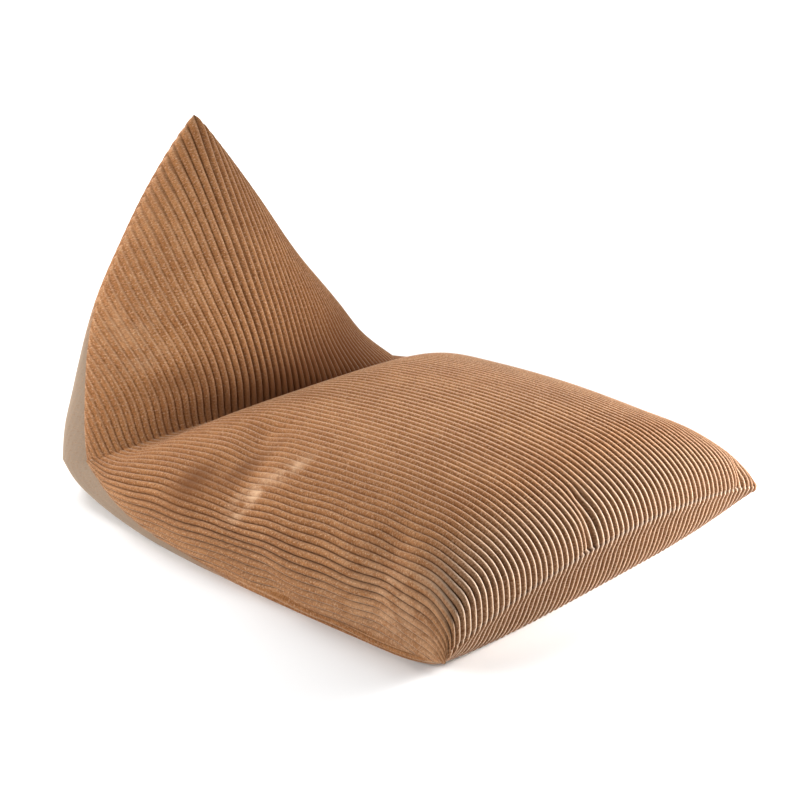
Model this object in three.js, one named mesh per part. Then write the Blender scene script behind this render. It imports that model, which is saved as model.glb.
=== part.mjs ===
import * as THREE from 'three';

// Bean bag lounger: two corduroy panels joined along their edges, filled and bent at one crease
// into a pillow seat and a three-cornered backrest. Millimetres; x runs across, y from the front
// seam to the back, z up from the floor. A place on the cloth is across -1 to 1 from end to end of
// the front seam, and past that on the seat's sides, and along 0 to 1 from the front seam to the
// crease and 1 to 2 up the backrest.

const CLOTH_COLOUR = 0xa8744b;
const CLOTH_ROUGHNESS = 0.95;
const SEAM_WALES = 64;
const SIDE_WALES = 12;
const RIB_HEIGHT = 4.2;
const RIB_FADE = 14;
const HALF_CLOTH = 340;
const SEAT_CLOTH = 720;
const BACK_CLOTH = 465;
const CREASE_SKEW = 70;
const SKEW_SEAT = 0.16;
const SKEW_BACK = 0.08;
const ARC_STEPS = 120;

// Where each section's cloth lies: the middle of the upper panel, the side edge and the middle of
// the under panel. full 0 is a lens and 1 a tube, square is the tube's superellipse power, both for
// the upper panel's right and left half and for the under panel, and the bulges swell the panels'
// sides past the edge.
const SECTION_COLUMNS = [
  'at', 'topY', 'topZ', 'sideX', 'sideY', 'sideZ', 'leftZ', 'underY', 'underZ',
  'full', 'square', 'leftFull', 'leftSquare', 'underFull', 'underSquare', 'bulge', 'underBulge',
];
const SEAT_SECTIONS = [
  [0.00, -10, 92, 340, 0, 45, 45, -10, 92, 0.0, 2.2, 0.0, 2.2, 0.0, 2.2, 0, 0],
  [0.03, -6, 107, 341, 2, 36, 30, 0, 68, 0.5, 2.4, 0.85, 4.0, 0.6, 2.4, 0, 0],
  [0.07, 4, 127, 341, 9, 29, 24, 7, 40, 0.8, 2.5, 1.0, 4.4, 0.9, 2.6, 1, 0],
  [0.12, 25, 146, 340, 27, 24, 20, 17, 12, 0.95, 2.6, 1.0, 4.2, 0.97, 2.7, 2, 0],
  [0.20, 76, 170, 340, 80, 19, 17, 46, -16, 1.0, 2.6, 1.0, 3.6, 1.0, 2.8, 4, 0],
  [0.33, 165, 184, 341, 190, 15, 15, 160, -36, 1.0, 2.45, 1.0, 3.0, 1.0, 2.6, 6, 0],
  [0.50, 300, 186, 346, 340, 13, 13, 330, -40, 1.0, 2.4, 1.0, 2.5, 1.0, 2.4, 8, 0],
  [0.67, 440, 174, 346, 500, 14, 14, 510, -40, 1.0, 2.4, 1.0, 2.4, 1.0, 2.4, 8, 0],
  [0.80, 540, 156, 343, 600, 22, 24, 660, -36, 1.0, 2.4, 1.0, 2.5, 1.0, 2.5, 8, 0],
  [0.90, 606, 126, 334, 675, 32, 42, 775, -24, 1.0, 2.5, 1.0, 2.7, 1.0, 2.7, 5, 2],
  [0.96, 636, 100, 322, 720, 40, 58, 842, 0, 1.0, 2.7, 0.9, 3.0, 0.95, 2.9, 2, 10],
  [1.00, 652, 92, 311, 751, 46, 66, 876, 34, 0.7, 3.0, 0.6, 3.5, 0.9, 3.0, 0, 15],
];
const BACK_SECTIONS = [
  [0.00, 652, 92, 311, 751, 46, 66, 876, 34, 0.7, 3.0, 0.6, 3.5, 0.9, 3.0, 0, 15],
  [0.06, 656, 132, 294, 774, 80, 92, 896, 78, 0.35, 2.4, 0.35, 3.0, 0.85, 3.0, 2, 9],
  [0.15, 672, 188, 268, 801, 138, 142, 909, 132, 0.2, 2.2, 0.25, 2.6, 0.7, 2.8, 2, 5],
  [0.35, 718, 290, 213, 843, 232, 232, 919, 235, 0.1, 2.0, 0.2, 2.4, 0.4, 2.4, 2, 2],
  [0.60, 772, 393, 138, 850, 343, 343, 904, 348, 0.1, 2.0, 0.2, 2.2, 0.3, 2.0, 2, 0],
  [0.80, 807, 460, 75, 846, 427, 427, 878, 430, 0.1, 2.0, 0.2, 2.0, 0.3, 2.0, 1, 0],
  [0.93, 825, 499, 28, 840, 485, 485, 850, 486, 0.1, 2.0, 0.2, 2.0, 0.2, 2.0, 0, 0],
  [1.00, 834, 516, 0, 834, 516, 516, 834, 516, 0.2, 2.0, 0.2, 2.0, 0.2, 2.0, 0, 0],
];

// Dents (minus) and ridges (plus) that the filling leaves in the upper panel, each along a line of
// the cloth.
const FOLD_COLUMNS = ['across0', 'along0', 'across1', 'along1', 'height', 'width'];
const FOLDS = [
  [-0.54, 0.73, -1.12, 0.57, -10, 30],
  [-0.79, 0.73, -1.05, 0.66, -5, 20],
  [-0.90, 0.28, -1.19, 0.27, -8, 24],
  [-1.11, 0.53, -1.27, 0.46, -6, 18],
  [-0.19, 0.00, -0.125, 0.13, -5, 14],
  [0.84, 0.00, 0.90, 0.09, -4, 12],
  [-0.57, 1.32, -0.42, 1.30, -6, 20],
  [-0.63, 1.15, -0.46, 1.14, -6, 20],
];

const SEAT_ROWS = [
  0, 0.025, 0.06, 0.1, 0.15, 0.21, 0.3, 0.4, 0.5, 0.6, 0.69, 0.78, 0.86, 0.92, 0.97, 1,
];
const BACK_ROWS = [1.06, 1.16, 1.29, 1.43, 1.58, 1.73, 1.88, 2];
const ROWS = [...SEAT_ROWS, ...BACK_ROWS];
const SEAT_END = SEAT_ROWS.length - 1;
const LAST_ROW = ROWS.length - 1;
const MIDDLE_COLUMN = SEAM_WALES + 2 * SIDE_WALES;
const LAST_COLUMN = 2 * MIDDLE_COLUMN;
const ACROSS = Array.from({ length: LAST_COLUMN + 1 }, (_, c) => (c - MIDDLE_COLUMN) / SEAM_WALES);
const COLUMN_WIDTH = HALF_CLOTH / SEAM_WALES;
const EDGE_SNAP = 0.35 * COLUMN_WIDTH;
const FLOOR_ROWS = [6, 11];
const FLOOR_COLUMNS = [MIDDLE_COLUMN - 56, MIDDLE_COLUMN + 56];

function slopes(table) {
  const last = table.length - 1;
  const rise = (i, c) => (table[i + 1][c] - table[i][c]) / (table[i + 1][0] - table[i][0]);
  const inner = (i, c) => {
    const before = table[i][0] - table[i - 1][0];
    const after = table[i + 1][0] - table[i][0];
    return (rise(i - 1, c) * after + rise(i, c) * before) / (before + after);
  };
  return table.map((row, i) => row.map((value, c) => {
    if (c === 0) return 0;
    if (i === 0) return 1.5 * rise(0, c) - 0.5 * inner(1, c);
    if (i === last) return 1.5 * rise(last - 1, c) - 0.5 * inner(last - 1, c);
    return inner(i, c);
  }));
}

const SEAT = { rows: SEAT_SECTIONS, slopes: slopes(SEAT_SECTIONS) };
const BACK = { rows: BACK_SECTIONS, slopes: slopes(BACK_SECTIONS) };

function sectionAt(table, at) {
  let i = 0;
  while (i < table.rows.length - 2 && at >= table.rows[i + 1][0]) i += 1;
  const [from, to] = [table.rows[i], table.rows[i + 1]];
  const span = to[0] - from[0];
  const t = (at - from[0]) / span;
  const section = {};
  SECTION_COLUMNS.forEach((name, c) => {
    section[name] = (1 + 2 * t) * (1 - t) ** 2 * from[c]
      + t * (1 - t) ** 2 * span * table.slopes[i][c]
      + t * t * (3 - 2 * t) * to[c]
      + t * t * (t - 1) * span * table.slopes[i + 1][c];
  });
  for (const name of ['full', 'leftFull', 'underFull']) {
    section[name] = THREE.MathUtils.clamp(section[name], 0, 1);
  }
  return section;
}

// Half of a panel's section, from the side edge to the middle, with the length of cloth so far.
function halfOutline(section, upper, left) {
  const middleY = upper ? section.topY : section.underY;
  const middleZ = upper ? section.topZ : section.underZ;
  const sideZ = left ? section.leftZ : section.sideZ;
  const half = upper ? (left ? 'left' : '') : 'under';
  const full = half ? section[`${half}Full`] : section.full;
  const square = half ? section[`${half}Square`] : section.square;
  const bulge = upper ? section.bulge : section.underBulge;
  const depth = Math.hypot(middleY - section.sideY, middleZ - sideZ);
  const points = [];
  let run = 0;
  for (let i = 0; i <= ARC_STEPS; i += 1) {
    const turn = (i / ARC_STEPS) * (Math.PI / 2);
    const out = Math.cos(turn) ** (2 / square);
    const risen = full * Math.sin(turn) ** (2 / square) + (1 - full) * (1 - out * out);
    const x = out * (section.sideX + bulge * 4 * risen * (1 - risen));
    if (i > 0) run += Math.hypot(x - points[i - 1].x, (risen - points[i - 1].risen) * depth);
    const y = THREE.MathUtils.lerp(section.sideY, middleY, risen);
    const z = THREE.MathUtils.lerp(sideZ, middleZ, risen);
    points.push({ x, y, z, risen, run });
  }
  return points;
}

function pointOnOutline(points, fromEdge) {
  let i = 0;
  while (i < ARC_STEPS - 1 && points[i + 1].run <= fromEdge) i += 1;
  const [from, to] = [points[i], points[i + 1]];
  const step = to.run - from.run;
  const t = step > 0 ? THREE.MathUtils.clamp((fromEdge - from.run) / step, 0, 1) : 0;
  return new THREE.Vector3(from.x, from.y, from.z).lerp(new THREE.Vector3(to.x, to.y, to.z), t);
}

function outlineLength(points) {
  return points[ARC_STEPS].run;
}

// Rows above the crease rise to the middle, so that each ends on the slanting seams.
function alongWale(across, row) {
  return row <= 1 ? row : 1 + (row - 1) * Math.max(1 - Math.abs(across), 0);
}

// How much cloth of the seat lies between two wales, as a share of that on the flat cloth.
function seatPitch(along, upper, left) {
  const [front, crease] = [0, 1].map((end) => (
    outlineLength(halfOutline(sectionAt(SEAT, end), upper, left)) / HALF_CLOTH
  ));
  return THREE.MathUtils.lerp(front, crease, along);
}

// A point of the smooth cloth and how much cloth lies between it and the side edge.
function clothPoint(across, row, upper) {
  const along = alongWale(across, row);
  const onSeat = row <= 1;
  const left = across < 0;
  const section = onSeat ? sectionAt(SEAT, along) : sectionAt(BACK, along - 1);
  const outline = halfOutline(section, upper, left);
  const length = outlineLength(outline);
  const fromMiddle = onSeat
    ? Math.abs(across) * HALF_CLOTH * seatPitch(along, upper, left)
    : (Math.abs(across) / Math.max(2 - along, 1e-9)) * length;
  const snap = onSeat ? EDGE_SNAP : 0;
  const fromEdge = length - fromMiddle > snap ? length - fromMiddle : 0;
  const point = pointOnOutline(outline, fromEdge);
  point.x *= Math.sign(across);
  if (upper && length > 0) {
    const share = 1 - fromEdge / length;
    const spread = row < 1 ? SKEW_SEAT : SKEW_BACK;
    const near = Math.exp(-(((along - 1) / spread) ** 2));
    point.y -= CREASE_SKEW * Math.sign(across) * share * near * (1 - share * share);
  }
  return { point, fromEdge };
}

function clothPlace(across, along) {
  const beyond = Math.max(along - 1, 0);
  return new THREE.Vector2(across * HALF_CLOTH, (along - beyond) * SEAT_CLOTH + beyond * BACK_CLOTH);
}

const FOLD_LINES = FOLDS.map((row) => {
  const fold = Object.fromEntries(FOLD_COLUMNS.map((name, c) => [name, row[c]]));
  const from = clothPlace(fold.across0, fold.along0);
  const to = clothPlace(fold.across1, fold.along1);
  return { from, run: to.sub(from), height: fold.height, width: fold.width };
});

function foldHeight(across, along) {
  const place = clothPlace(across, along);
  return FOLD_LINES.reduce((sum, fold) => {
    const offset = place.clone().sub(fold.from);
    const t = THREE.MathUtils.clamp(offset.dot(fold.run) / fold.run.lengthSq(), 0, 1);
    const away = offset.addScaledVector(fold.run, -t).length();
    return sum + fold.height * Math.exp(-((away / fold.width) ** 2));
  }, 0);
}

function ribHeight(column, across, row) {
  const along = alongWale(across, row);
  const beside = Math.max(1 - Math.abs(across), 0);
  const left = row <= 1
    ? (1 - along) * SEAT_CLOTH + beside * BACK_CLOTH
    : (1 + beside - along) * BACK_CLOTH;
  const side = column % 2 === 1 ? 0.5 : -0.5;
  return side * RIB_HEIGHT * Math.min(1, left / RIB_FADE);
}

// A panel's points, row by row, pushed out along the cloth by its folds and ribs; the edge points
// stay on the edge and nothing goes below the floor.
function panelPoints(upper) {
  const smooth = ROWS.map((row) => ACROSS.map((across) => clothPoint(across, row, upper)));
  const facing = upper ? 1 : -1;
  return smooth.map((line, r) => line.map(({ point, fromEdge }, c) => {
    const onEdge = r > SEAT_END ? Math.abs(ACROSS[c]) >= 1 : fromEdge === 0;
    const moved = point.clone();
    if (!onEdge && r > 0 && r < LAST_ROW) {
      const sideways = line[c + 1].point.clone().sub(line[c - 1].point);
      const lengthways = smooth[r + 1][c].point.clone().sub(smooth[r - 1][c].point);
      const normal = sideways.cross(lengthways).normalize().multiplyScalar(facing);
      const fold = upper ? foldHeight(ACROSS[c], alongWale(ACROSS[c], ROWS[r])) : 0;
      moved.addScaledVector(normal, fold + ribHeight(c, ACROSS[c], ROWS[r]));
    }
    moved.z = Math.max(moved.z, 0);
    return { point: moved, onEdge };
  }));
}

function beanBagGeometry() {
  const positions = [];
  const triangles = [];
  const numbers = new Map();
  const panels = { upper: panelPoints(true), under: panelPoints(false) };

  // Both panels share their points on the side edges, the front seam and the slanting seams.
  const number = (name, r, c) => {
    const { onEdge } = panels[name][r][c];
    const row = onEdge ? Math.min(r, SEAT_END) : r;
    const edgeColumn = c < MIDDLE_COLUMN ? 0 : LAST_COLUMN;
    const column = onEdge ? edgeColumn : c;
    const shared = onEdge || row === 0 || row === LAST_ROW;
    const owner = shared ? 'upper' : name;
    const key = `${owner} ${row} ${column}`;
    if (!numbers.has(key)) {
      numbers.set(key, positions.length / 3);
      positions.push(...panels[owner][row][column].point.toArray());
    }
    return numbers.get(key);
  };
  const face = (name, corners) => {
    const [a, b, c] = corners.map(([row, column]) => number(name, row, column));
    if (a === b || b === c || a === c) return;
    triangles.push(...(name === 'upper' ? [a, b, c] : [a, c, b]));
  };
  const patch = (name, r0, r1, c0, c1) => {
    face(name, [[r0, c0], [r0, c1], [r1, c1]]);
    face(name, [[r0, c0], [r1, c1], [r1, c0]]);
  };

  const [floorStart, floorEnd] = FLOOR_ROWS;
  const [flatFrom, flatTo] = FLOOR_COLUMNS;
  for (let r = 0; r < LAST_ROW; r += 1) {
    for (let c = 0; c < LAST_COLUMN; c += 1) {
      patch('upper', r, r + 1, c, c + 1);
      const onFloor = r >= floorStart && r < floorEnd && c >= flatFrom && c < flatTo;
      if (!onFloor) patch('under', r, r + 1, c, c + 1);
    }
  }
  // The flat base inside its margin, one long strip to each column and a fan at both outer strips.
  for (let c = flatFrom + 1; c < flatTo - 1; c += 1) patch('under', floorStart, floorEnd, c, c + 1);
  face('under', [[floorStart, flatFrom], [floorStart, flatFrom + 1], [floorEnd, flatFrom + 1]]);
  face('under', [[floorStart, flatTo - 1], [floorStart, flatTo], [floorEnd, flatTo - 1]]);
  for (let r = floorStart; r < floorEnd; r += 1) {
    face('under', [[r, flatFrom], [floorEnd, flatFrom + 1], [r + 1, flatFrom]]);
    face('under', [[r, flatTo], [r + 1, flatTo], [floorEnd, flatTo - 1]]);
  }

  const geometry = new THREE.BufferGeometry();
  geometry.setAttribute('position', new THREE.Float32BufferAttribute(positions, 3));
  geometry.setIndex(triangles);
  geometry.computeBoundingBox();
  const middle = geometry.boundingBox.getCenter(new THREE.Vector3());
  geometry.translate(-middle.x, -middle.y, -geometry.boundingBox.min.z);
  geometry.computeVertexNormals();
  return geometry;
}

const corduroy = new THREE.MeshStandardMaterial({
  color: CLOTH_COLOUR,
  roughness: CLOTH_ROUGHNESS,
  metalness: 0,
});
const beanBag = new THREE.Mesh(beanBagGeometry(), corduroy);
beanBag.name = 'bean_bag';

const lounger = new THREE.Group();
lounger.name = 'bean_bag_lounger';
lounger.add(beanBag);

export default lounger;
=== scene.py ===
import math

import bpy
import numpy as np
from bpy.props import (
    FloatProperty,
    FloatVectorProperty,
    IntProperty,
    PointerProperty,
)
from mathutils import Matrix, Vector


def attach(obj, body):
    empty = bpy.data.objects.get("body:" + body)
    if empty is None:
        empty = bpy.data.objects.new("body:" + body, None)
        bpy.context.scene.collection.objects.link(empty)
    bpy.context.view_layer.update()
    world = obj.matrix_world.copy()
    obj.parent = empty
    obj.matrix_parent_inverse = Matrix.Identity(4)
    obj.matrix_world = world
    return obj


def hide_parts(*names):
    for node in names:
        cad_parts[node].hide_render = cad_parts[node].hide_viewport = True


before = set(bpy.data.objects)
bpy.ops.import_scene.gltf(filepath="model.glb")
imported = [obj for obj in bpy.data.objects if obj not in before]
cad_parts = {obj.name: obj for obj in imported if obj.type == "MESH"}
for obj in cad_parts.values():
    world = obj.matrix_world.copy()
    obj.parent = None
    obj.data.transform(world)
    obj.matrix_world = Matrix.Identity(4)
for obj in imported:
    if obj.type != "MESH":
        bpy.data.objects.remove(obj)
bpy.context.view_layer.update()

bl_info = {
    "name": "Bean Bag Lounger",
    "version": (1, 0, 0),
    "blender": (4, 5, 0),
    "location": "3D View > Sidebar > Lounger",
    "description": "Builds a filled corduroy floor lounger and the studio that it stands in",
    "category": "Object",
}

MM = 0.001

# The cover is worked out in millimetres: x across, y from the front seam's corners to the back, z up
# from the floor. COVER_TO_FRAME moves it to the part's own frame, whose origin is under its middle.
# A place on the cloth is across -1 to 1 from end to end of the front seam, and past that on the
# seat's sides, and along 0 to 1 from the front seam to the crease and 1 to 2 up to the peak.
COVER_TO_FRAME = np.array([-0.384, -455.099, 0.0])
HALF_CLOTH = 340.0
SIDE_REACH = 1.375
SEAT_CLOTH = 720.0
BACK_CLOTH = 465.0

# CREASE_SKEW bends the crease back on its left half and forward on its right, and the two spreads say
# how far along the seat and the backrest that is felt.
CREASE_SKEW = 70.0
SKEW_SEAT = 0.16
SKEW_BACK = 0.08

# Steps that half a section's cloth is measured in, how far a wale strays to a side in wales, the share
# of a column within which a point is drawn to the side edge, how much closer the rows lie towards the
# ends of a panel, the length in millimetres over which folds run out at a seam, and the share of its
# height that a rib loses for each unit of flat, up to a limit.
ARC_STEPS = 200
WANDER = 0.10
EDGE_SNAP = 0.3
ROW_CROWDING = 0.09
FOLD_FADE = 4.0
RIB_PRESS = 0.65
RIB_PRESS_LIMIT = 1.5

# The flat cut pattern lies in a unit square, one panel in each half.
PATTERN_MARGIN = 0.01
PATTERN_WIDTH = 0.48
PATTERN_HEIGHT = 0.98

# Where each section's cloth lies: the middle of the upper panel, the side edge and the middle of the
# under panel. full 0 is a lens and 1 a tube, square is the tube's superellipse power, both for the
# upper panel's right and left half and for the under panel, and the bulges swell the panels' sides
# past the edge. On the seat, at runs from the front seam to the crease, and on the backrest from its
# foot to the peak.
SECTION_COLUMNS = (
    "at", "topY", "topZ", "sideX", "sideY", "sideZ", "leftZ", "underY", "underZ",
    "full", "square", "leftFull", "leftSquare", "underFull", "underSquare", "bulge", "underBulge",
)
SEAT_SECTIONS = (
    (0.00, -10, 92, 340, 0, 45, 45, -10, 92, 0.0, 2.2, 0.0, 2.2, 0.0, 2.2, 0, 0),
    (0.03, -6, 107, 341, 2, 36, 30, 0, 68, 0.5, 2.4, 0.85, 4.0, 0.6, 2.4, 0, 0),
    (0.07, 4, 127, 341, 9, 29, 24, 7, 40, 0.8, 2.5, 1.0, 4.4, 0.9, 2.6, 1, 0),
    (0.12, 25, 146, 340, 27, 24, 20, 17, 12, 0.95, 2.6, 1.0, 4.2, 0.97, 2.7, 2, 0),
    (0.20, 76, 170, 340, 80, 19, 17, 46, -16, 1.0, 2.6, 1.0, 3.6, 1.0, 2.8, 4, 0),
    (0.33, 165, 184, 341, 190, 15, 15, 160, -36, 1.0, 2.45, 1.0, 3.0, 1.0, 2.6, 6, 0),
    (0.50, 300, 186, 346, 340, 13, 13, 330, -40, 1.0, 2.4, 1.0, 2.5, 1.0, 2.4, 8, 0),
    (0.67, 440, 174, 346, 500, 14, 14, 510, -40, 1.0, 2.4, 1.0, 2.4, 1.0, 2.4, 8, 0),
    (0.80, 540, 156, 343, 600, 22, 24, 660, -36, 1.0, 2.4, 1.0, 2.5, 1.0, 2.5, 8, 0),
    (0.90, 606, 126, 334, 675, 32, 42, 775, -24, 1.0, 2.5, 1.0, 2.7, 1.0, 2.7, 5, 2),
    (0.96, 636, 100, 322, 720, 40, 58, 842, 0, 1.0, 2.7, 0.9, 3.0, 0.95, 2.9, 2, 10),
    (1.00, 652, 92, 311, 751, 46, 66, 876, 34, 0.7, 3.0, 0.6, 3.5, 0.9, 3.0, 0, 15),
)
BACK_SECTIONS = (
    (0.00, 652, 92, 311, 751, 46, 66, 876, 34, 0.7, 3.0, 0.6, 3.5, 0.9, 3.0, 0, 15),
    (0.06, 656, 132, 294, 774, 80, 92, 896, 78, 0.35, 2.4, 0.35, 3.0, 0.85, 3.0, 2, 9),
    (0.15, 672, 188, 268, 801, 138, 142, 909, 132, 0.2, 2.2, 0.25, 2.6, 0.7, 2.8, 2, 5),
    (0.35, 718, 290, 213, 843, 232, 232, 919, 235, 0.1, 2.0, 0.2, 2.4, 0.4, 2.4, 2, 2),
    (0.60, 772, 393, 138, 850, 343, 343, 904, 348, 0.1, 2.0, 0.2, 2.2, 0.3, 2.0, 2, 0),
    (0.80, 807, 460, 75, 846, 427, 427, 878, 430, 0.1, 2.0, 0.2, 2.0, 0.3, 2.0, 1, 0),
    (0.93, 825, 499, 28, 840, 485, 485, 850, 486, 0.1, 2.0, 0.2, 2.0, 0.2, 2.0, 0, 0),
    (1.00, 834, 516, 0, 834, 516, 516, 834, 516, 0.2, 2.0, 0.2, 2.0, 0.2, 2.0, 0, 0),
)

# Dents (minus) and ridges (plus) that the filling leaves in the upper panel, each along a line of the
# cloth; height and width in millimetres.
FOLD_COLUMNS = ("across0", "along0", "across1", "along1", "height", "width")
FOLDS = (
    (-0.54, 0.73, -1.12, 0.57, -10, 30),
    (-0.79, 0.73, -1.05, 0.66, -5, 20),
    (-0.90, 0.28, -1.19, 0.27, -8, 24),
    (-1.11, 0.53, -1.27, 0.46, -6, 18),
    (-0.19, 0.00, -0.125, 0.13, -5, 14),
    (0.84, 0.00, 0.90, 0.09, -4, 12),
    (-0.57, 1.32, -0.42, 1.30, -6, 20),
    (-0.63, 1.15, -0.46, 1.14, -6, 20),
)

# Patches of painted light on the pile, a painted highlight (plus) or painted shade (minus), and where
# the ribs are pressed flat (plus) or stand out (minus): the panel, the middle on the cloth and how far
# the patch reaches in millimetres. Where flat is well above 1 the pile is pressed away and the ground
# shows, its pale grey partly painted sheen.
UPPER, UNDER = 0, 1
PATCH_COLUMNS = ("panel", "across", "along", "reachAcross", "reachAlong", "painted_light", "flat")
PATCHES = (
    # The seat's top, worn smoother, and the plump ribs of the front edge.
    (UPPER, 0.00, 0.50, 300, 260, 0.00, 0.45),
    (UPPER, 0.00, 0.04, 460, 55, 0.00, -0.50),
    # The brushed left half of the backrest, with two spots of painted highlight and painted shade under
    # them.
    (UPPER, -0.50, 1.28, 110, 120, 0.00, 0.65),
    (UPPER, -0.75, 1.10, 90, 70, 0.06, 0.40),
    (UPPER, -0.25, 1.50, 110, 130, 0.04, 0.40),
    (UPPER, -0.53, 1.32, 34, 24, 0.16, 0.00),
    (UPPER, -0.55, 1.20, 40, 18, 0.20, 0.00),
    (UPPER, -0.50, 1.13, 60, 14, -0.40, 0.00),
    # The painted shade along the crease.
    (UPPER, 0.35, 1.05, 250, 50, -0.90, 0.00),
    (UPPER, -0.10, 1.03, 200, 28, -0.35, 0.00),
    # Two streaks of painted highlight on the left of the seat, and painted shade in the dents behind
    # them.
    (UPPER, -0.90, 0.615, 42, 11, 1.00, 0.50),
    (UPPER, -0.71, 0.590, 28, 9, 0.75, 0.40),
    (UPPER, -0.91, 0.74, 40, 25, -0.85, 0.60),
    (UPPER, -0.74, 0.68, 60, 12, -0.80, 0.30),
    # The ribs low on the left side, with a little painted shade, and a painted highlight on the pile
    # near the front corner.
    (UPPER, -1.15, 0.50, 60, 220, -0.10, -0.80),
    (UPPER, -1.12, 0.22, 70, 120, 0.30, -0.20),
    # The front edge from below, and the smooth strips behind the side edges, with ground whose pale grey
    # is partly painted sheen.
    (UNDER, 0.00, 0.03, 460, 45, 0.00, -0.50),
    (UNDER, -0.86, 1.16, 120, 330, 0.00, 2.80),
    (UNDER, 0.86, 1.16, 120, 330, 0.00, 2.80),
    (UNDER, -1.08, 0.80, 60, 180, 0.00, 2.60),
    (UNDER, 1.08, 0.80, 60, 180, 0.00, 2.60),
)

# Soft boxes of the studio: place, aim and size in metres, the spread of the light in degrees and the
# power in watts.
LAMP_COLUMNS = ("name", "x", "y", "z", "aimX", "aimY", "aimZ", "width", "height", "spread", "power")
LAMPS = (
    ("left_lamp", -2.72, 0.71, 1.19, 0.00, 0.00, 0.15, 1.2, 1.2, 180, 68),
    ("rear_lamp", 0.00, 2.30, 2.08, 0.00, 0.00, 0.15, 1.2, 1.2, 180, 64),
    ("right_lamp", 2.08, -2.08, 0.77, 0.00, 0.00, 0.15, 1.2, 1.2, 180, 17.5),
    ("front_lamp", 1.30, -1.00, 0.43, 0.10, -0.50, 0.17, 0.4, 0.8, 70, 13.5),
    ("backrest_lamp", -1.30, -0.30, 1.20, -0.05, 0.35, 0.30, 0.5, 0.5, 45, 0.7),
    ("backdrop_lamp", 3.00, 2.80, 3.20, 3.00, 2.80, 0.00, 4.0, 4.0, 180, 200),
)

# The floor's half width in metres, the camera's sensor in millimetres, its shift as a share of that, and
# the place that it looks at, in the cover's millimetres.
FLOOR_REACH = 40.0
FLOOR_ROUGHNESS = 0.9
SENSOR_WIDTH = 36.0
LENS_SHIFT = (-0.0025, -0.0072)
CAMERA_TARGET = np.array([0, 400, 180])


class Sections:
    """A table of sections with a smooth run of every column between its rows."""

    def __init__(self, rows):
        self.rows = np.array(rows, float)
        self.slopes = self._slopes()

    def _slopes(self):
        gap = np.diff(self.rows[:, :1], axis=0)
        rise = np.diff(self.rows, axis=0) / gap
        inner = (rise[:-1] * gap[1:] + rise[1:] * gap[:-1]) / (gap[1:] + gap[:-1])
        first = 1.5 * rise[:1] - 0.5 * inner[:1]
        last = 1.5 * rise[-1:] - 0.5 * inner[-1:]
        return np.concatenate([first, inner, last])

    def at(self, where):
        """Every column's value at each place in the array where, by the column's name."""
        place = np.searchsorted(self.rows[:, 0], where, side="right") - 1
        i = np.clip(place, 0, len(self.rows) - 2)
        span = self.rows[i + 1, 0] - self.rows[i, 0]
        t = ((where - self.rows[i, 0]) / span)[:, None]
        value = (
            (1 + 2 * t) * (1 - t) ** 2 * self.rows[i]
            + t * (1 - t) ** 2 * span[:, None] * self.slopes[i]
            + t * t * (3 - 2 * t) * self.rows[i + 1]
            + t * t * (t - 1) * span[:, None] * self.slopes[i + 1]
        )
        section = dict(zip(SECTION_COLUMNS, value.T))
        for name in ("full", "leftFull", "underFull"):
            section[name] = np.clip(section[name], 0, 1)
        return section


SEAT = Sections(SEAT_SECTIONS)
BACK = Sections(BACK_SECTIONS)


class HalfOutline:
    """Half of each section of a panel, from its side edge to its middle: how far out, how far risen
    from the edge, and the length of cloth from the edge."""

    def __init__(self, section, upper, left):
        if upper:
            self.middle_y, self.middle_z = section["topY"], section["topZ"]
            full = np.where(left, section["leftFull"], section["full"])[:, None]
            square = np.where(left, section["leftSquare"], section["square"])[:, None]
            bulge = section["bulge"][:, None]
        else:
            self.middle_y, self.middle_z = section["underY"], section["underZ"]
            full = section["underFull"][:, None]
            square = section["underSquare"][:, None]
            bulge = section["underBulge"][:, None]
        self.side_y = section["sideY"]
        self.side_z = np.where(left, section["leftZ"], section["sideZ"])
        turn = np.linspace(0, math.pi / 2, ARC_STEPS + 1)
        out = np.cos(turn).clip(0) ** (2 / square)
        self.risen = full * np.sin(turn) ** (2 / square) + (1 - full) * (1 - out**2)
        self.x = out * (section["sideX"][:, None] + bulge * 4 * self.risen * (1 - self.risen))
        depth = np.hypot(self.middle_y - self.side_y, self.middle_z - self.side_z)
        self.step = np.hypot(np.diff(self.x), np.diff(self.risen) * depth[:, None])
        self.run = np.concatenate([np.zeros((len(out), 1)), np.cumsum(self.step, axis=1)], axis=1)
        self.length = self.run[:, -1]

    def points(self, sign, from_edge):
        """The point of each section that lies from_edge along the cloth, on the side that sign gives."""
        line = np.arange(len(from_edge))
        i = np.clip((self.run <= from_edge[:, None]).sum(1) - 1, 0, ARC_STEPS - 1)
        t = np.clip((from_edge - self.run[line, i]) / np.maximum(self.step[line, i], 1e-9), 0, 1)
        x = self.x[line, i] + t * (self.x[line, i + 1] - self.x[line, i])
        risen = self.risen[line, i] + t * (self.risen[line, i + 1] - self.risen[line, i])
        y = self.side_y + risen * (self.middle_y - self.side_y)
        z = self.side_z + risen * (self.middle_z - self.side_z)
        return np.stack([sign * x, y, z], axis=1)


def along_wale(across, row):
    """Rows above the crease rise to the middle, so that each ends on the slanting seams."""
    return np.where(row <= 1, row, 1 + (row - 1) * (1 - np.minimum(np.abs(across), 1)))


def seat_pitch(along, upper, left):
    """How much cloth of the seat lies between two wales, as a share of that on the flat cloth."""
    ends = SEAT.at(np.array([0.0, 1.0]))
    halves = [HalfOutline(ends, upper, side).length / HALF_CLOTH for side in (False, True)]
    front, crease = np.where(left[:, None], halves[1], halves[0]).T
    return front + (crease - front) * along


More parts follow.
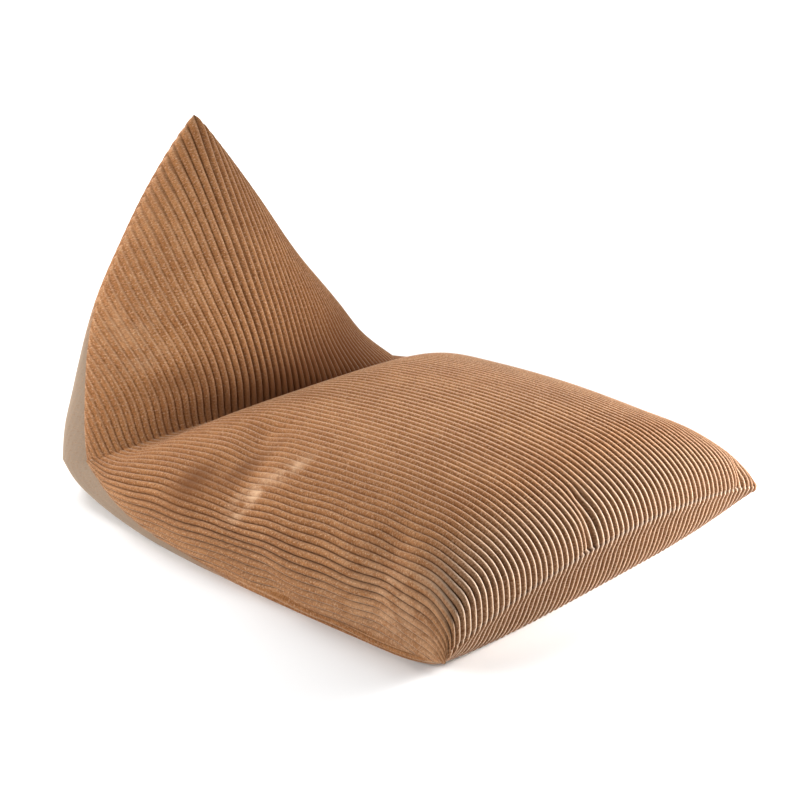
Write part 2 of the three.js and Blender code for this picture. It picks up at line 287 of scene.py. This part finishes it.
def cloth_line(across, row, upper, snap):
    """The points of one row of a panel, before its folds and ribs, and how much cloth lies between
    each and the side edge. On the seat, points nearer than snap to that edge lie on it."""
    along = along_wale(across, row)
    left = across < 0
    if row <= 1:
        outline = HalfOutline(SEAT.at(along), upper, left)
        from_middle = np.abs(across) * HALF_CLOTH * seat_pitch(along, upper, left)
        from_edge = outline.length - from_middle
        from_edge = np.where(from_edge < snap, 0, from_edge)
    else:
        outline = HalfOutline(BACK.at(along - 1), upper, left)
        share = np.abs(across) / np.maximum(2 - along, 1e-9)
        from_edge = np.maximum(1 - share, 0) * outline.length
    points = outline.points(np.sign(across), from_edge)
    if upper:
        share = 1 - from_edge / np.maximum(outline.length, 1e-9)
        spread = SKEW_SEAT if row < 1 else SKEW_BACK
        near = np.exp(-(((along - 1) / spread) ** 2))
        points[:, 1] -= CREASE_SKEW * np.sign(across) * share * near * (1 - share * share)
    return points, from_edge


def wale_wander(across, row):
    """How far the wales stray sideways, in wales: only on the sides of the seat, clear of the seams."""
    long_sway = np.sin(2 * math.pi * (3.1 * row + 1.3 * across))
    short_sway = np.sin(2 * math.pi * (7.7 * row - 2.1 * across))
    on_seat = np.clip(row / 0.1, 0, 1) * np.clip((0.95 - row) / 0.15, 0, 1)
    on_side = np.clip((np.abs(across) - 0.45) / 0.45, 0, 1)
    return WANDER * (long_sway + short_sway) * on_seat * on_side


def cloth_place(across, along):
    """Where a place lies on the flat cloth, in millimetres."""
    beyond = np.maximum(along - 1, 0)
    return np.stack([across * HALF_CLOTH, (along - beyond) * SEAT_CLOTH + beyond * BACK_CLOTH], axis=-1)


def fold_height(across, along):
    """How far the filling's dents and ridges push the cloth out."""
    place = cloth_place(across, along)
    height = np.zeros(place.shape[:-1])
    for row in FOLDS:
        fold = dict(zip(FOLD_COLUMNS, row))
        start = cloth_place(np.float64(fold["across0"]), np.float64(fold["along0"]))
        run = cloth_place(np.float64(fold["across1"]), np.float64(fold["along1"])) - start
        offset = place - start
        t = np.clip(offset @ run / (run @ run), 0, 1)
        away = np.linalg.norm(offset - t[..., None] * run, axis=-1)
        height += fold["height"] * np.exp(-((away / fold["width"]) ** 2))
    return height


def patch_values(panel, across, along):
    """The painted light on the pile, highlight plus and shade minus, and how flat the ribs are pressed
    at each place of a panel.
    """
    place = cloth_place(across, along)
    painted_light, flat = np.zeros(across.shape), np.zeros(across.shape)
    for row in PATCHES:
        patch = dict(zip(PATCH_COLUMNS, row))
        if patch["panel"] != panel:
            continue
        middle = cloth_place(np.float64(patch["across"]), np.float64(patch["along"]))
        reach = np.array([patch["reachAcross"], patch["reachAlong"]])
        share = np.exp(-(((place - middle) / reach) ** 2).sum(-1))
        painted_light += patch["painted_light"] * share
        flat += patch["flat"] * share
    return np.clip(painted_light, -1, 1), np.clip(flat, -1, 3)


def rib_profile(turn):
    """A round wale with a narrow groove at each whole turn, from -0.5 to 0.5."""
    side = np.abs(turn % 1 - 0.5) * 2
    return np.sqrt(np.maximum(1 - side**2, 0)) - 0.5


def seam_distance(across, row):
    """How far the cloth runs on from a place to the seam that its wale ends on, in millimetres."""
    along = along_wale(across, row)
    to_peak = np.where(
        row <= 1,
        (1 - along) * SEAT_CLOTH + np.maximum(1 - np.abs(across), 0) * BACK_CLOTH,
        (2 - np.abs(across) - along) * BACK_CLOTH,
    )
    from_front = np.minimum(along, 1) * SEAT_CLOTH + np.maximum(along - 1, 0) * BACK_CLOTH
    return np.minimum(to_peak, from_front)


def grid_normals(points, facing):
    """Unit normals of a grid of points, rows first."""
    lengthways = np.gradient(points, axis=0)
    sideways = np.gradient(points, axis=1)
    normal = np.cross(sideways, lengthways) * facing
    return normal / np.maximum(np.linalg.norm(normal, axis=-1, keepdims=True), 1e-9)


class CorduroyCover:
    """The sewn cover as two grids of points, one for each panel, that share their edge."""

    def __init__(self, shape):
        self.rows = np.concatenate([
            self.spaced(0, 1, shape.seat_rows),
            self.spaced(1, 2, shape.back_rows)[1:],
        ])
        self.seat_end = shape.seat_rows
        columns = round(shape.wales * SIDE_REACH) * shape.columns_per_wale
        self.across = np.linspace(-SIDE_REACH, SIDE_REACH, columns + 1)
        self.wales = shape.wales
        self.pitch = 2 * HALF_CLOTH / shape.wales
        self.column_width = self.pitch / shape.columns_per_wale
        self.rib_height = shape.rib_height / MM
        self.rib_fade = shape.rib_fade / MM

    @staticmethod
    def spaced(start, end, steps):
        """Rows that lie closer together towards both ends."""
        t = np.linspace(0, 1, steps + 1)
        return start + (end - start) * (t - ROW_CROWDING * np.sin(2 * math.pi * t))

    def panel(self, upper):
        """A panel's points with folds and ribs, which of them lie on its side edges, the painted light
        on the pile and how flat the ribs."""
        snap = EDGE_SNAP * self.column_width
        wale = 2 / self.wales
        lines = [
            cloth_line(self.across + wale * wale_wander(self.across, row), row, upper, snap)
            for row in self.rows
        ]
        points = np.stack([line[0] for line in lines])
        from_edge = np.stack([line[1] for line in lines])
        on_edge = from_edge <= 0
        on_edge[self.seat_end + 1:] = np.abs(self.across) > 1 - 1e-9

        across, row = np.meshgrid(self.across, self.rows)
        normal = grid_normals(points, 1 if upper else -1)
        to_seam = seam_distance(across, row)
        fade = np.clip(to_seam / self.rib_fade, 0, 1)
        fade *= np.where(row <= 1, np.clip(from_edge / self.pitch, 0, 1), 1)
        painted_light, flat = patch_values(UPPER if upper else UNDER, across, along_wale(across, row))
        fade *= 1 - RIB_PRESS * np.minimum(flat, RIB_PRESS_LIMIT)
        push = rib_profile(across / 2 * self.wales) * self.rib_height * fade
        if upper:
            fold = fold_height(across, along_wale(across, row))
            push += fold * np.clip(to_seam / FOLD_FADE, 0, 1)
        push[[0, -1]] = 0
        push[on_edge] = 0
        points = points + normal * push[..., None]
        points[..., 2] = np.maximum(points[..., 2], 0)
        return points, on_edge, painted_light, flat

    def mesh(self, name):
        """One closed mesh with the cloth's own map and a flat cut pattern."""
        upper, upper_edge, upper_painted_light, upper_flat = self.panel(True)
        under, under_edge, under_painted_light, under_flat = self.panel(False)
        rows, columns = upper.shape[:2]
        numbers = np.arange(rows * columns).reshape(rows, columns)
        ends = np.where(self.across < 0, 0, columns - 1)
        edge_numbers = np.minimum(np.arange(rows), self.seat_end)[:, None] * columns + ends
        upper_numbers = np.where(upper_edge, edge_numbers, numbers)
        under_numbers = np.where(under_edge, edge_numbers, numbers + rows * columns)
        under_numbers[[0, -1]] = upper_numbers[[0, -1]]
        points = np.concatenate([upper.reshape(-1, 3), under.reshape(-1, 3)])
        painted_light = np.concatenate([upper_painted_light.ravel(), under_painted_light.ravel()])
        flat = np.concatenate([upper_flat.ravel(), under_flat.ravel()])

        across, row = np.meshgrid(self.across, self.rows)
        length = cloth_place(across, along_wale(across, row))[..., 1]
        faces, cloth_map, pattern = [], [], []
        for panel, ids in ((UPPER, upper_numbers), (UNDER, under_numbers)):
            wale = (across / 2 + 1 + 2 * panel) * self.wales
            run = length / self.pitch
            cut_x = PATTERN_MARGIN + panel / 2 + PATTERN_WIDTH * (across / SIDE_REACH + 1) / 2
            cut_y = PATTERN_MARGIN + PATTERN_HEIGHT * length / (SEAT_CLOTH + BACK_CLOTH)
            for r in range(rows - 1):
                for c in range(columns - 1):
                    corners = [(r, c), (r, c + 1), (r + 1, c + 1), (r + 1, c)]
                    if panel == UNDER:
                        corners.reverse()
                    kept = list({ids[corner]: corner for corner in reversed(corners)}.items())[::-1]
                    if len(kept) < 3:
                        continue
                    faces.append([int(number) for number, corner in kept])
                    cloth_map.extend((wale[corner], run[corner]) for number, corner in kept)
                    pattern.extend((cut_x[corner], cut_y[corner]) for number, corner in kept)

        used, renumbered = np.unique(np.concatenate(faces), return_inverse=True)
        placed = (points[used] + COVER_TO_FRAME) * MM
        sizes = np.cumsum([len(face) for face in faces])[:-1]
        mesh = bpy.data.meshes.new(name)
        mesh.from_pydata(placed.tolist(), [], [face.tolist() for face in np.split(renumbered, sizes)])
        for map_name, places in (("cloth", cloth_map), ("OFBake", pattern)):
            layer = mesh.uv_layers.new(name=map_name)
            layer.uv.foreach_set("vector", np.array(places, np.float32).ravel())
        # The painted light on the pile, highlight plus and shade minus, and the flatness of the ribs, at
        # each point.
        for value_name, values in (("painted_light", painted_light), ("flat", flat)):
            layer = mesh.attributes.new(value_name, "FLOAT", "POINT")
            layer.data.foreach_set("value", values[used].astype(np.float32))
        mesh.polygons.foreach_set("use_smooth", np.ones(len(mesh.polygons), bool))
        mesh.update()
        return mesh


class Shade:
    """One socket of a material's node tree: arithmetic on it adds Math nodes."""

    def __init__(self, tree, socket=None):
        self.tree = tree
        self.socket = socket

    def node(self, kind, settings=None, inputs=None, output=0):
        """Adds a node: its settings first, then a value or a link for each socket that is named."""
        made = self.tree.nodes.new(kind)
        for name, value in (settings or {}).items():
            setattr(made, name, value)
        for name, value in (inputs or {}).items():
            if isinstance(value, Shade):
                self.tree.links.new(value.socket, made.inputs[name])
            else:
                made.inputs[name].default_value = value
        return Shade(self.tree, made.outputs[output] if made.outputs else None)

    def math(self, operation, *values):
        return self.node("ShaderNodeMath", {"operation": operation}, dict(enumerate(values)))

    def __add__(self, other):
        return self.math("ADD", self, other)

    __radd__ = __add__

    def __sub__(self, other):
        return self.math("SUBTRACT", self, other)

    def __rsub__(self, other):
        return self.math("SUBTRACT", other, self)

    def __mul__(self, other):
        return self.math("MULTIPLY", self, other)

    __rmul__ = __mul__

    def __pow__(self, other):
        return self.math("POWER", self, other)

    def __abs__(self):
        return self.math("ABSOLUTE", self)

    def fraction(self):
        return self.math("FRACT", self)

    def between(self, low, high):
        """0 below low, 1 above high and smooth between them."""
        return self.node(
            "ShaderNodeMapRange",
            {"interpolation_type": "SMOOTHSTEP"},
            {"Value": self, "From Min": low, "From Max": high},
        )

    def at_least(self, low):
        return self.math("MAXIMUM", self, low)

    def mix(self, first, second):
        """The first colour where this is 0 and the second where it is 1."""
        return self.node(
            "ShaderNodeMix", {"data_type": "RGBA"}, {0: self, 6: first, 7: second}, output=2
        )


def corduroy_material(finish, wales):
    """Wide-wale corduroy: soft pile on the wales, with painted shade in the grooves and painted
    highlights on the wales.
    """
    material = bpy.data.materials.new("corduroy")
    material.use_nodes = True
    tree = material.node_tree
    tree.nodes.clear()
    start = Shade(tree)
    cloth = start.node("ShaderNodeUVMap", {"uv_map": "cloth"})
    wale = start.node("ShaderNodeSeparateXYZ", inputs={"Vector": cloth}, output=0)
    run = start.node("ShaderNodeSeparateXYZ", inputs={"Vector": cloth}, output=1)

    # Painted light on the pile, plus for painted highlight and minus for painted shade, and how flat the
    # ribs are.
    painted_light = start.node("ShaderNodeAttribute", {"attribute_name": "painted_light"}, output=2)
    flat = start.node("ShaderNodeAttribute", {"attribute_name": "flat"}, output=2)

    # Each wale runs from 0 to 1 between its grooves. Across it lies painted light: painted shade in the
    # groove and on the lee, a painted highlight on the other flank, and a thin painted highlight along a
    # rim where the pile is pressed.
    turn = wale.fraction()
    side = abs(turn - 0.5) * 2
    groove_shade = side.between(0.70, 1.0)
    lee_shade = 1 - turn.between(0.02, 0.50)
    flank_highlight = turn.between(0.45, 0.80)
    rim_highlight = turn.between(0.50, 0.64) - turn.between(0.74, 0.90)
    stand = 1 - flat.between(-0.6, 1.2) * 0.95

    # The stretch over the front edge, in wale pitches from the seam and from end to end of it.
    seam_shade = 1 - run.between(0.05, 0.55)
    across = (wale * (0.5 / wales)).fraction() * 4 - 2
    front = (1 - run.between(7.0, 16.0)) * (1 - abs(across).between(0.92, 1.04))

    def cloth_noise(across_scale, along_scale, detail, offset):
        place = start.node(
            "ShaderNodeCombineXYZ",
            inputs={"X": wale * across_scale, "Y": run * along_scale, "Z": offset},
        )
        return start.node(
            "ShaderNodeTexNoise",
            {"noise_dimensions": "3D"},
            {"Vector": place, "Scale": 1.0, "Detail": detail, "Roughness": 0.6},
        )

    tuft = cloth_noise(across_scale=2.2, along_scale=5.0, detail=3.0, offset=0.0)
    speck = cloth_noise(across_scale=3.6, along_scale=4.6, detail=2.0, offset=5.0)
    brushed = cloth_noise(across_scale=0.16, along_scale=0.10, detail=3.0, offset=11.0)
    mottle = cloth_noise(across_scale=0.55, along_scale=0.42, detail=3.0, offset=17.0)
    tuft_and_shade_colour = tuple(finish.tuft_and_shade_colour)
    tip_and_highlight_colour = tuple(finish.tip_and_highlight_colour)
    groove_shade_colour = tuple(finish.groove_shade_colour)
    # The colour of the painted highlight on each wale's lit flank, paler on the front.
    flank_highlight_colour = front.mix(tip_and_highlight_colour, tuple(finish.flank_highlight_colour))

    # The pile with its tufts and light specks.
    lie = (brushed * 0.6 + mottle * 0.4).between(0.38, 0.64)
    colour = lie.mix(tuple(finish.pile_colour), tuple(finish.brushed_colour))
    # A greyer pile over the front edge: partly stretched pile, partly painted sheen.
    colour = (front * 0.6).mix(colour, tuple(finish.stretched_and_sheen_colour))
    colour = (tuft.between(0.45, 0.66) * 0.75).mix(colour, tuft_and_shade_colour)
    colour = (speck.between(0.52, 0.68) * 0.50).mix(colour, tip_and_highlight_colour)

    # Painted light: painted shade on each wale's lee and in its groove, painted highlights on its other
    # flank and along its rim, and the patches of painted highlight and painted shade.
    colour = (lee_shade * stand * 0.55).mix(colour, tuft_and_shade_colour)
    colour = (flank_highlight * stand**2 * (0.15 + front * 0.60)).mix(colour, flank_highlight_colour)
    colour = (rim_highlight * (1 - stand) * 0.30).mix(colour, tip_and_highlight_colour)
    colour = (painted_light.at_least(0.0) * mottle.between(0.34, 0.62)).mix(colour, tip_and_highlight_colour)
    colour = (groove_shade * stand**2 * 0.95).mix(colour, groove_shade_colour)
    colour = (painted_light * -1.0).at_least(0.0).mix(colour, tuft_and_shade_colour)
    # Painted shade along the front seam.
    colour = (seam_shade * 0.6).mix(colour, groove_shade_colour)

    # The ground of the cloth where the pile is pressed away, its pale grey partly painted sheen.
    grain = 1 - tuft.between(0.45, 0.66) * 0.25 - speck.between(0.5, 0.7) * 0.1
    colour = (flat.between(1.0, 2.4) * grain).mix(colour, tuple(finish.ground_and_sheen_colour))

    height = (1 - side**2.4) * stand * 0.6 + tuft * 0.32 + speck * 0.26
    bump = start.node(
        "ShaderNodeBump",
        inputs={"Strength": 0.55, "Distance": 0.0016, "Height": height},
    )
    roughness = 0.82 + 0.15 * tuft

    shader = start.node(
        "ShaderNodeBsdfPrincipled",
        inputs={
            "Base Color": colour,
            "Roughness": roughness,
            "Specular IOR Level": 0.18,
            "Sheen Weight": finish.sheen,
            "Sheen Roughness": finish.sheen_roughness,
            "Sheen Tint": tuple(finish.sheen_colour),
            "Normal": bump,
        },
    )
    start.node("ShaderNodeOutputMaterial", inputs={"Surface": shader})
    return material


class LoungerShape(bpy.types.PropertyGroup):
    """Sizes of the cover's cloth."""

    wales: IntProperty(
        name="Wales", description="Ribs across the cover's width", default=64, min=8
    )
    columns_per_wale: IntProperty(
        name="Columns per wale", description="Points across each rib", default=6, min=2
    )
    seat_rows: IntProperty(
        name="Seat rows", description="Points along each rib of the seat", default=72, min=8
    )
    back_rows: IntProperty(
        name="Backrest rows", description="Points along each rib of the backrest", default=42, min=8
    )
    rib_height: FloatProperty(
        name="Rib height", description="From groove to crest",
        default=0.0046, unit="LENGTH", precision=4,
    )
    rib_fade: FloatProperty(
        name="Rib fade", description="Length over which a rib flattens into a seam",
        default=0.007, unit="LENGTH", precision=4,
    )
    fill: FloatProperty(
        name="Fill", description="How full the cover is", default=0.75, min=0, max=1, subtype="FACTOR"
    )


class CorduroyFinish(bpy.types.PropertyGroup):
    """Colours of the pile, with its painted highlights and painted shade, and how it shines."""

    pile_colour: FloatVectorProperty(
        name="Pile", description="The pile on the wales", subtype="COLOR", size=4,
        default=(0.27, 0.109, 0.036, 1), min=0, max=1,
    )
    brushed_colour: FloatVectorProperty(
        name="Brushed pile", description="Pile that lies the other way", subtype="COLOR", size=4,
        default=(0.35, 0.155, 0.057, 1), min=0, max=1,
    )
    # Also the painted shade on the lee of each wale and in the patches of painted shade.
    tuft_and_shade_colour: FloatVectorProperty(
        name="Tuft shade", description="Between the tufts of the pile", subtype="COLOR", size=4,
        default=(0.13, 0.046, 0.014, 1), min=0, max=1,
    )
    # Also the painted highlight on the wales' flanks and rims and in the patches of painted highlight.
    tip_and_highlight_colour: FloatVectorProperty(
        name="Pile tips", description="Tips of the pile on the side that it leans to", subtype="COLOR",
        size=4, default=(0.64, 0.42, 0.26, 1), min=0, max=1,
    )
    # The painted highlight on the lit flank of each wale of the front.
    flank_highlight_colour: FloatVectorProperty(
        name="Front tips", description="Tips of the pile on the ribs of the front", subtype="COLOR",
        size=4, default=(0.74, 0.58, 0.44, 1), min=0, max=1,
    )
    # Greyer pile over the front edge: partly stretched pile, partly painted sheen.
    stretched_and_sheen_colour: FloatVectorProperty(
        name="Stretched pile", description="Pile stretched over the front edge", subtype="COLOR",
        size=4, default=(0.27, 0.165, 0.100, 1), min=0, max=1,
    )
    # Painted shade in the grooves between the wales and along the front seam.
    groove_shade_colour: FloatVectorProperty(
        name="Groove", description="Ground weave between the wales", subtype="COLOR", size=4,
        default=(0.05, 0.020, 0.008, 1), min=0, max=1,
    )
    # Partly painted sheen: the pale grey of the smooth strips behind the side edges.
    ground_and_sheen_colour: FloatVectorProperty(
        name="Pressed cloth", description="Where the ribs are pressed quite flat", subtype="COLOR",
        size=4, default=(0.24, 0.178, 0.128, 1), min=0, max=1,
    )
    sheen: FloatProperty(
        name="Sheen", description="How strongly the pile shines at a low angle",
        default=0.40, min=0, max=1, subtype="FACTOR",
    )
    sheen_roughness: FloatProperty(
        name="Sheen roughness", description="How widely the sheen spreads",
        default=0.35, min=0, max=1, subtype="FACTOR",
    )
    sheen_colour: FloatVectorProperty(
        name="Sheen colour", description="Colour of the pile's tips", subtype="COLOR", size=4,
        default=(1.0, 0.85, 0.67, 1), min=0, max=1,
    )


class LoungerStage(bpy.types.PropertyGroup):
    """Floor, light and camera."""

    floor_colour: FloatVectorProperty(
        name="Floor", description="Colour of the plain floor", subtype="COLOR", size=4,
        default=(0.93, 0.93, 0.93, 1), min=0, max=1,
    )
    surround: FloatProperty(name="Surround", description="Light from all round", default=0.14, min=0)
    light: FloatProperty(name="Lamps", description="Strength of the lamps", default=1.0, min=0)
    lens: FloatProperty(
        name="Lens", description="Focal length", default=0.108, unit="LENGTH", precision=4
    )
    azimuth: FloatProperty(
        name="Azimuth", description="Round the lounger from its front",
        default=math.radians(-46.844), subtype="ANGLE",
    )
    elevation: FloatProperty(
        name="Elevation", description="Above the horizon", default=math.radians(23.5), subtype="ANGLE"
    )
    distance: FloatProperty(
        name="Distance", description="From the camera to the lounger", default=3.51435, unit="LENGTH"
    )


def link(name, data):
    made = bpy.data.objects.new(name, data)
    bpy.context.scene.collection.objects.link(made)
    return made


class LOUNGER_OT_bean_bag(bpy.types.Operator):
    """Sew and fill the corduroy cover"""

    bl_idname = "lounger.bean_bag"
    bl_label = "Bean bag"

    def execute(self, context):
        shape = context.scene.lounger_shape
        bag = link("corduroy_bag", CorduroyCover(shape).mesh("corduroy_bag"))
        bag.data.materials.append(corduroy_material(context.scene.lounger_finish, shape.wales))
        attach(bag, "root")
        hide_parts("bean_bag")
        return {"FINISHED"}


class LOUNGER_OT_stage(bpy.types.Operator):
    """Lay the floor and set the light and the camera"""

    bl_idname = "lounger.stage"
    bl_label = "Stage"

    def execute(self, context):
        stage = context.scene.lounger_stage
        self.floor(stage)
        self.light(context.scene, stage)
        self.camera(context.scene, stage)
        return {"FINISHED"}

    def floor(self, stage):
        mesh = bpy.data.meshes.new("floor")
        corners = [(-1, -1), (1, -1), (1, 1), (-1, 1)]
        mesh.from_pydata(
            [(x * FLOOR_REACH, y * FLOOR_REACH, 0) for x, y in corners], [], [(0, 1, 2, 3)]
        )
        material = bpy.data.materials.new("pale_floor")
        material.use_nodes = True
        shader = material.node_tree.nodes["Principled BSDF"]
        shader.inputs["Base Color"].default_value = tuple(stage.floor_colour)
        shader.inputs["Roughness"].default_value = FLOOR_ROUGHNESS
        mesh.materials.append(material)
        link("floor", mesh)

    def light(self, scene, stage):
        world = bpy.data.worlds.new("studio")
        world.use_nodes = True
        background = world.node_tree.nodes["Background"]
        background.inputs["Color"].default_value = (1, 1, 1, 1)
        background.inputs["Strength"].default_value = stage.surround
        scene.world = world
        scene.view_settings.view_transform = "Standard"
        for row in LAMPS:
            self.lamp(dict(zip(LAMP_COLUMNS, row)), stage.light)

    def lamp(self, lamp, strength):
        data = bpy.data.lights.new(lamp["name"], "AREA")
        data.shape = "RECTANGLE"
        data.size = lamp["width"]
        data.size_y = lamp["height"]
        data.spread = math.radians(lamp["spread"])
        data.energy = lamp["power"] * strength
        made = link(lamp["name"], data)
        made.location = Vector((lamp["x"], lamp["y"], lamp["z"]))
        aim = Vector((lamp["aimX"], lamp["aimY"], lamp["aimZ"]))
        made.rotation_euler = (aim - made.location).to_track_quat("-Z", "Y").to_euler()

    def camera(self, scene, stage):
        lens = bpy.data.cameras.new("camera")
        lens.sensor_width = SENSOR_WIDTH
        lens.lens = stage.lens / MM
        lens.shift_x, lens.shift_y = LENS_SHIFT
        eye = link("camera", lens)
        a, e = stage.azimuth, stage.elevation
        back = Vector((math.sin(a) * math.cos(e), -math.cos(a) * math.cos(e), math.sin(e)))
        target = Vector((COVER_TO_FRAME + CAMERA_TARGET) * MM)
        eye.location = target + back * stage.distance
        eye.rotation_euler = (-back).to_track_quat("-Z", "Y").to_euler()
        scene.camera = eye


class LOUNGER_PT_panel(bpy.types.Panel):
    bl_idname = "LOUNGER_PT_panel"
    bl_label = "Bean bag lounger"
    bl_space_type = "VIEW_3D"
    bl_region_type = "UI"
    bl_category = "Lounger"

    def draw(self, context):
        for group in ("lounger_shape", "lounger_finish", "lounger_stage"):
            settings = getattr(context.scene, group)
            box = self.layout.box()
            for name in settings.__annotations__:
                box.prop(settings, name)
        self.layout.operator(LOUNGER_OT_bean_bag.bl_idname)
        self.layout.operator(LOUNGER_OT_stage.bl_idname)


CLASSES = (
    LoungerShape,
    CorduroyFinish,
    LoungerStage,
    LOUNGER_OT_bean_bag,
    LOUNGER_OT_stage,
    LOUNGER_PT_panel,
)


def register():
    for cls in CLASSES:
        bpy.utils.register_class(cls)
    bpy.types.Scene.lounger_shape = PointerProperty(type=LoungerShape)
    bpy.types.Scene.lounger_finish = PointerProperty(type=CorduroyFinish)
    bpy.types.Scene.lounger_stage = PointerProperty(type=LoungerStage)


def unregister():
    for name in ("lounger_shape", "lounger_finish", "lounger_stage"):
        delattr(bpy.types.Scene, name)
    for cls in reversed(CLASSES):
        bpy.utils.unregister_class(cls)


def main():
    register()
    bpy.ops.lounger.stage()
    bpy.ops.lounger.bean_bag()


if __name__ == "__main__":
    main()
